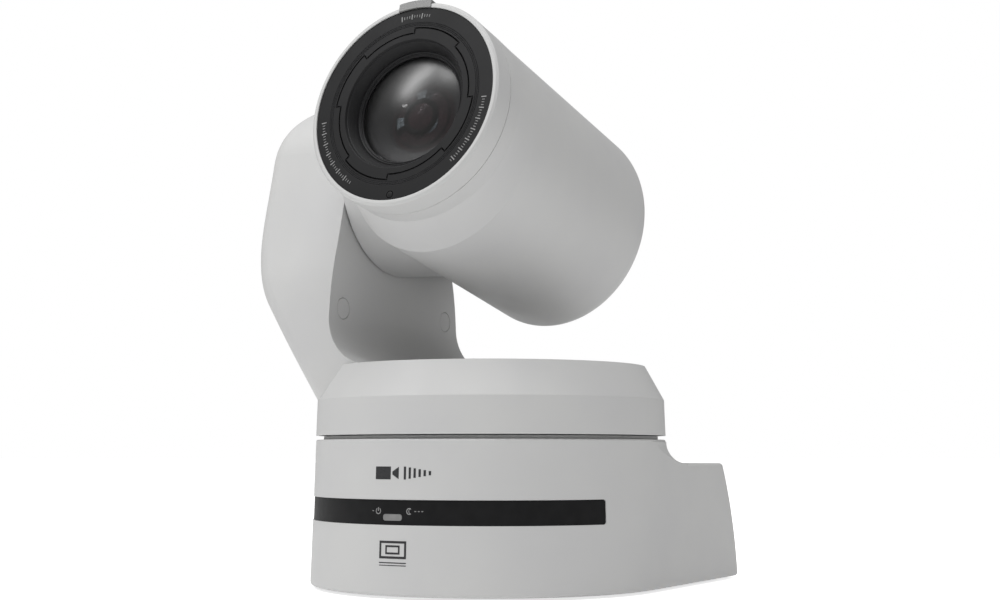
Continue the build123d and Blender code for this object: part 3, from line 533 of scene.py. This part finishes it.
def on_base_front(outward):
    """Places (distance round the front, height, lift) on the cone of the base's front."""
    foot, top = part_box("base_housing")
    foot_r = -foot.y
    top_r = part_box("dust_seal")[1].x + SHELL_PAST_SEAL

    def place(along, height, lift):
        share = (height - foot.z) / (top.z - foot.z)
        radius = foot_r + (top_r - foot_r) * share + outward + lift
        angle = along / foot_r
        return Vector((radius * math.sin(angle), -radius * math.cos(angle), height))
    return place


def span(middle, width):
    """Both ends, in metres, of a width in millimetres."""
    return ((middle - width / 2) * MM, (middle + width / 2) * MM)


def ink_bar(form, place, along, height, wide, tall, steps=1):
    """Rectangle of ink, in millimetres; more steps let a long one follow a curve."""
    plate(form, place, span(along, wide), span(height, tall), BOTH_SIDES, (steps, 1))


def ink_arc(form, place, along, height, radius, width, start, end, steps=32):
    """Part of a ring round (along, height), in millimetres, from start to end in degrees."""
    def bent(angle, ring, lift):
        return place(along * MM + ring * math.cos(angle), height * MM + ring * math.sin(angle), lift)
    plate(form, bent, (math.radians(start), math.radians(end)), span(radius, width), BOTH_SIDES, (steps, 1))


def ink_frame(form, place, along, height, wide, tall, line):
    """Rectangular outline, in millimetres."""
    for end in (-1, 1):
        ink_bar(form, place, along, height + end * (tall - line) / 2, wide, line, 6)
        ink_bar(form, place, along + end * (wide - line) / 2, height, line, tall - 2 * line)


def make_camera_pictogram():
    """Video camera: a body, a flared lens, and bars that get shorter in front of it."""
    shell = on_base_front(0)
    middle, height = 0.3, 58.1
    body_tall = 6.0
    slice_wide = 0.45
    form = bmesh.new()
    ink_bar(form, shell, middle - 6.0, height, 9.0, body_tall, 6)
    for step in range(8):
        ink_bar(form, shell, middle - 0.6 + (step + 0.5) * slice_wide, height, slice_wide, 1.6 + step * 0.55)
    for step in range(6):
        ink_bar(form, shell, middle + 6.4 + step * 2.6, height, 1.2, body_tall - step * 0.8)
    add_piece("camera_pictogram", form, "base", "dark_ink")


def make_format_pictogram():
    """A picture frame in another, over two lines."""
    shell = on_base_front(0)
    middle, height, wide = 0.7, 22.6, 15.0
    form = bmesh.new()
    ink_frame(form, shell, middle, height, wide, 8.2, 1.1)
    ink_frame(form, shell, middle, height, 8.0, 4.2, 0.9)
    ink_bar(form, shell, middle, 16.6, wide, 0.5, 6)
    ink_bar(form, shell, middle, 15.4, wide, 0.4, 6)
    add_piece("format_pictogram", form, "base", "dark_ink")


def make_power_pictograms():
    """Power and standby signs on the window, each with dashes for its legend."""
    window = on_base_front(-WINDOW_SUNK)
    height, radius, line = 40.4, 1.35, 0.42
    power, standby = -8.4, 9.2
    form = bmesh.new()
    ink_arc(form, window, power, height, radius, line, *POWER_ARC)
    ink_bar(form, window, power, height + 0.85, line, 1.7)
    ink_arc(form, window, standby, height, radius, line, 50, 310)
    ink_arc(form, window, standby + 0.95, height, 1.2, 0.3, 118, 242)
    for dash in (power - 3.2, standby + 3.2, standby + 5.0, standby + 6.8):
        ink_bar(form, window, dash, height, 0.9, 0.4)
    add_piece("power_pictograms", form, "base", "grey_ink")


def make_lens_scale():
    """Three tick scales on the black ring round the lens; every fourth tick is a long one."""
    face = on_lens_face(ring_front())
    scales = ((99, 79, 12), (-3, -46, 26), (187, 238, 28))          # first and last angle, number of ticks
    long_tick, short_tick = (44.6, 47.4, 0.26), (45.4, 46.8, 0.16)  # radii of both ends, half its width
    form = bmesh.new()
    for start, end, count in scales:
        for tick in range(count):
            angle = math.radians(start + (end - start) * tick / (count - 1))
            inner, outer, half_wide = long_tick if tick % 4 == 0 else short_tick
            half = half_wide / outer
            plate(form, face, (angle - half, angle + half), (inner * MM, outer * MM), BOTH_SIDES)
    add_piece("lens_scale", form, "head", "grey_ink")


def make_index_dot():
    """Round dot low on the black ring, barely raised, with a black ring round it as the painted shade of a
    groove.
    """
    front = ring_front()
    below = -47.4 * MM
    dot_r, groove_r = 1.35, 1.95
    foot, rim, crown = -0.2, 0.03, 0.06

    def round_dot(angle, radius, lift):
        return in_head(radius * math.cos(angle), front + lift, below + radius * math.sin(angle))
    form = bmesh.new()
    turned(form, in_metres(((dot_r, foot), (groove_r, foot), (groove_r, rim), (dot_r, rim))), round_dot, 40)
    add_piece("index_groove_shade", form, "head", "groove_shade_black")
    form = bmesh.new()
    domed(form, in_head(0, front + foot * MM, below), FORWARD, dot_r * MM, -foot * MM, crown * MM, 32, 5)
    add_piece("index_dot", form, "head", "index_black")


def make_lug_joint_shadow():
    """Painted shadow of the joint round the four-lug ring: a black line along each lug's top, down its ends and
    on to the next lug.
    """
    face = on_lens_face(ring_front())
    lug_middles = (154.8, 66.5, -23.8, -115.9, -205.2)      # degrees; the last is the first one again
    lug_half = 21.5
    low_r, high_r, half = 36.9 * MM, 39.6 * MM, 0.45 * MM
    lifts = (-INK, 0.6 * INK)
    form = bmesh.new()
    for here, after in zip(lug_middles, lug_middles[1:]):
        next_end = math.radians(after + lug_half)
        lug_start, lug_end = math.radians(here - lug_half), math.radians(here + lug_half)
        plate(form, face, (lug_start, lug_end), (high_r - half, high_r + half), lifts, (24, 1))
        plate(form, face, (next_end, lug_start), (low_r - half, low_r + half), lifts, (24, 1))
        for edge in (lug_start, lug_end):
            width = half / high_r
            plate(form, face, (edge - width, edge + width), (low_r - half, high_r + half), lifts)
    add_piece("lug_joint_shadow", form, "head", "groove_shade_black")


def make_fine_groove_shadows():
    """Painted shade of three fine grooves outside the four-lug ring: thin black rings."""
    face = on_lens_face(ring_front())
    half, low, high = 0.17 * MM, -INK, 0.5 * INK
    form = bmesh.new()
    for radius in (40.9 * MM, 41.7 * MM, 42.5 * MM):
        inner, outer = radius - half, radius + half
        turned(form, ((inner, low), (outer, low), (outer, high), (inner, high)), face)
    add_piece("fine_groove_shadows", form, "head", "groove_shade_black")


# ---- lens
FINE = 128                      # segments of the rings that show round the glass
ELEMENT_R = 18.1 * MM           # second element: its radius, rim and bulge
ELEMENT_S = 66.7 * MM
ELEMENT_RIM = 0.5 * MM
ELEMENT_CROWN = 2.6 * MM
VANE_RADII = (9.8 * MM, 15.0 * MM)
VANE_FOOT = -0.1 * MM           # the vanes sink a little into the element
VANE_TOP = 0.12 * MM


def on_element(angle, radius, lift):
    """Place on the bulging front of the second element."""
    crown = ELEMENT_CROWN * (1 - (radius / ELEMENT_R) ** 2)
    return in_head(radius * math.cos(angle), ELEMENT_S + ELEMENT_RIM + crown + lift, radius * math.sin(angle))


def vane(form, middle, half, high):
    """Sector of the element between two angles in degrees."""
    plate(form, on_element, (math.radians(middle - half), math.radians(middle + half)), VANE_RADII,
          (VANE_FOOT, high), (8, 4))


def crescent(form, start, end, inner, width):
    """Sickle-shaped plate on the element, along an arc between two angles in degrees."""
    first, last = math.radians(start), math.radians(end)
    narrowest = 0.02            # of its width, so that its tips stay open

    def bent(angle, share, lift):
        swell = max(narrowest, math.sin(math.pi * (angle - first) / (last - first)))
        return on_element(angle, inner + width * share * swell, lift)
    plate(form, bent, (first, last), (0.0, 1.0), (VANE_FOOT, VANE_TOP), (24, 2))


def make_front_rings():
    """Funnel that leads in to the front glass, the retainer's edge at its foot, and the stepped cell behind."""
    mouth = on_lens_face(0)
    funnel = ((33.05, 85.3), (32.2, 84.3), (31.4, 83.1), (30.75, 81.9), (30.3, 80.9), (30.1, 80.2),
              (30.3, 79.9), (31.7, 79.9))
    form = bmesh.new()
    turned(form, in_metres(funnel), mouth, FINE)
    add_piece("front_funnel", form, "head", "black_trim")

    edge = ((28.6, 79.7), (28.8, 80.0), (28.4, 79.9), (28.2, 79.5))
    form = bmesh.new()
    turned(form, in_metres(edge), mouth, FINE)
    add_piece("retainer_edge", form, "head", "black_trim")

    cell = [(32.0, 75.0), (26.6, 75.0), (25.6, 74.2)]
    for step in range(5):
        radius = 24.8 - step * 1.35
        s = 73.6 - step * 1.1
        cell += [(radius, s), (radius - 0.25, s - 0.9)]
    cell += [(18.2, 67.4), (18.2, 66.6), (32.0, 66.6)]
    form = bmesh.new()
    turned(form, in_metres(cell), mouth, FINE)
    add_piece("front_cell", form, "head", "cell_grey")


def make_elements():
    """Coated second element, pale vanes and crescents on it as painted reflections, darker vanes as dimmer
    painted reflections, and the small element in its middle.
    """
    form = bmesh.new()
    domed(form, in_head(0, ELEMENT_S, 0), FORWARD, ELEMENT_R, ELEMENT_RIM, ELEMENT_CROWN)
    add_piece("second_element", form, "head", "coated_element")

    # painted reflections: pale vanes and crescents on the element
    form = bmesh.new()
    for middle in (99, 187):
        vane(form, middle, 12, VANE_TOP)
    crescent(form, 99, 187, 9.6 * MM, 1.3 * MM)
    crescent(form, -68, -8, 9.7 * MM, 1.5 * MM)
    add_piece("reflection_vanes", form, "head", "reflection_blue")
    # dimmer painted reflections: darker vanes beside the pale ones
    form = bmesh.new()
    for middle in (75, 208):
        vane(form, middle, 9, 0.08 * MM)
    add_piece("shaded_vanes", form, "head", "dark_steel")

    mouth = on_lens_face(0)
    inner_ring = ((9.9, 68.6), (9.5, 70.3), (8.8, 70.7), (7.9, 70.4), (7.0, 69.8), (7.0, 68.6))
    outer_ring = ((15.9, 67.2), (15.8, 68.4), (15.4, 68.55), (15.0, 68.4), (15.0, 67.2))
    form = bmesh.new()
    for profile in (inner_ring, outer_ring):
        turned(form, in_metres(profile), mouth)
    add_piece("element_rings", form, "head", "lens_black")
    form = bmesh.new()
    domed(form, in_head(0, 69.0 * MM, 0), FORWARD, 7.1 * MM, 0.9 * MM, 1.2 * MM, 48, 8)
    add_piece("core_element", form, "head", "coated_element")


# ---- connector panel; x and z in millimetres
PANEL_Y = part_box("rear_panel")[1].y
NETWORK_X = (20, 42)
NETWORK_Z = 20
VIDEO_X = (-28, -8, 12)
HDMI_X = -24.0
POWER_X = -55
SWITCH_ENDS = (40.4, 46.6)
SCREWS = [(x, z) for x in (-68.5, 68.5) for z in (13.0, 47.0)]


def panel_block(form, x, z, wide, tall, back, front, bevel):
    """Block whose middle is at (x, z), from back to front of the panel's face, all in millimetres."""
    left, right = span(x, wide)
    bottom, top = span(z, tall)
    box_form(form, (left, PANEL_Y + back * MM, bottom), (right, PANEL_Y + front * MM, top), bevel * MM)


def on_panel(x, z, lift):
    """Places (x as seen from behind, z, lift) on the panel."""
    return Vector((-x, PANEL_Y + lift, z))


def make_socket_details():
    """Eight contacts and two lamps in each network socket, and the tongue of the HDMI socket."""
    form = bmesh.new()
    for x in NETWORK_X:
        for pin in range(8):
            panel_block(form, x + (pin - 3.5) * 1.02, NETWORK_Z + 2.25, 0.44, 0.5, -11.9, -2.0, 0.08)
    add_piece("network_contacts", form, "base", "gold")
    form = bmesh.new()
    for x in NETWORK_X:
        for end in (-4.6, 4.6):
            panel_block(form, x + end, NETWORK_Z + 5.35, 2.2, 1.7, -2.0, 1.65, 0.2)
    add_piece("network_lamps", form, "base", "lamp_diffuser")
    form = bmesh.new()
    panel_block(form, HDMI_X, 20.0, 11.2, 0.8, -6.9, 0.6, 0.1)
    add_piece("hdmi_tongue", form, "base", "inlet_black")


def make_panel_screws():
    """Domed cross-head screws in the panel's corners, with black crosses on them as the painted shade of their
    recesses.
    """
    outwards = Vector((0, 1, 0))
    form = bmesh.new()
    for x, z in SCREWS:
        domed(form, Vector((x * MM, PANEL_Y, z * MM)), outwards, 2.3 * MM, 0.25 * MM, 0.75 * MM, 32, 6)
    add_piece("panel_screws", form, "base", "dark_steel")
    # painted shade: black crosses on the heads stand in for the shaded cross recesses
    form = bmesh.new()
    for x, z in SCREWS:
        for wide, tall in ((2.2, 0.5), (0.5, 2.2)):
            panel_block(form, x, z, wide, tall, 0.7, 1.02, 0.05)
    add_piece("screw_recess_shades", form, "base", "lens_black")


def make_panel_marks():
    """Generic signs beside the connectors: rings, frames, a power sign and the switch's two ends."""
    video_z = 29.6
    form = bmesh.new()
    for x in VIDEO_X:
        ink_arc(form, on_panel, -x, video_z, 1.0, 0.35, 0, 360)
        ink_bar(form, on_panel, 3.4 - x, video_z, 3.2, 0.4)
    for x in NETWORK_X:
        ink_frame(form, on_panel, -x, 30.0, 3.2, 2.4, 0.35)
        ink_bar(form, on_panel, -x, 28.3, 0.4, 1.0)
    ink_frame(form, on_panel, -HDMI_X, 13.6, 5.0, 2.6, 0.35)
    ink_arc(form, on_panel, -POWER_X, 47.2, 1.4, 0.4, *POWER_ARC)
    ink_bar(form, on_panel, -POWER_X, 48.1, 0.4, 1.8)
    for x in SWITCH_ENDS:
        ink_bar(form, on_panel, -x, 43.4, 0.4, 1.6)
    add_piece("panel_marks", form, "base", "grey_ink")


make_camera()
make_studio()
MATERIALS = make_materials()
paint_nodes()
make_camera_pictogram()
make_format_pictogram()
make_power_pictograms()
make_lens_scale()
make_index_dot()
make_lug_joint_shadow()
make_fine_groove_shadows()
make_front_rings()
make_elements()
make_socket_details()
make_panel_screws()
make_panel_marks()
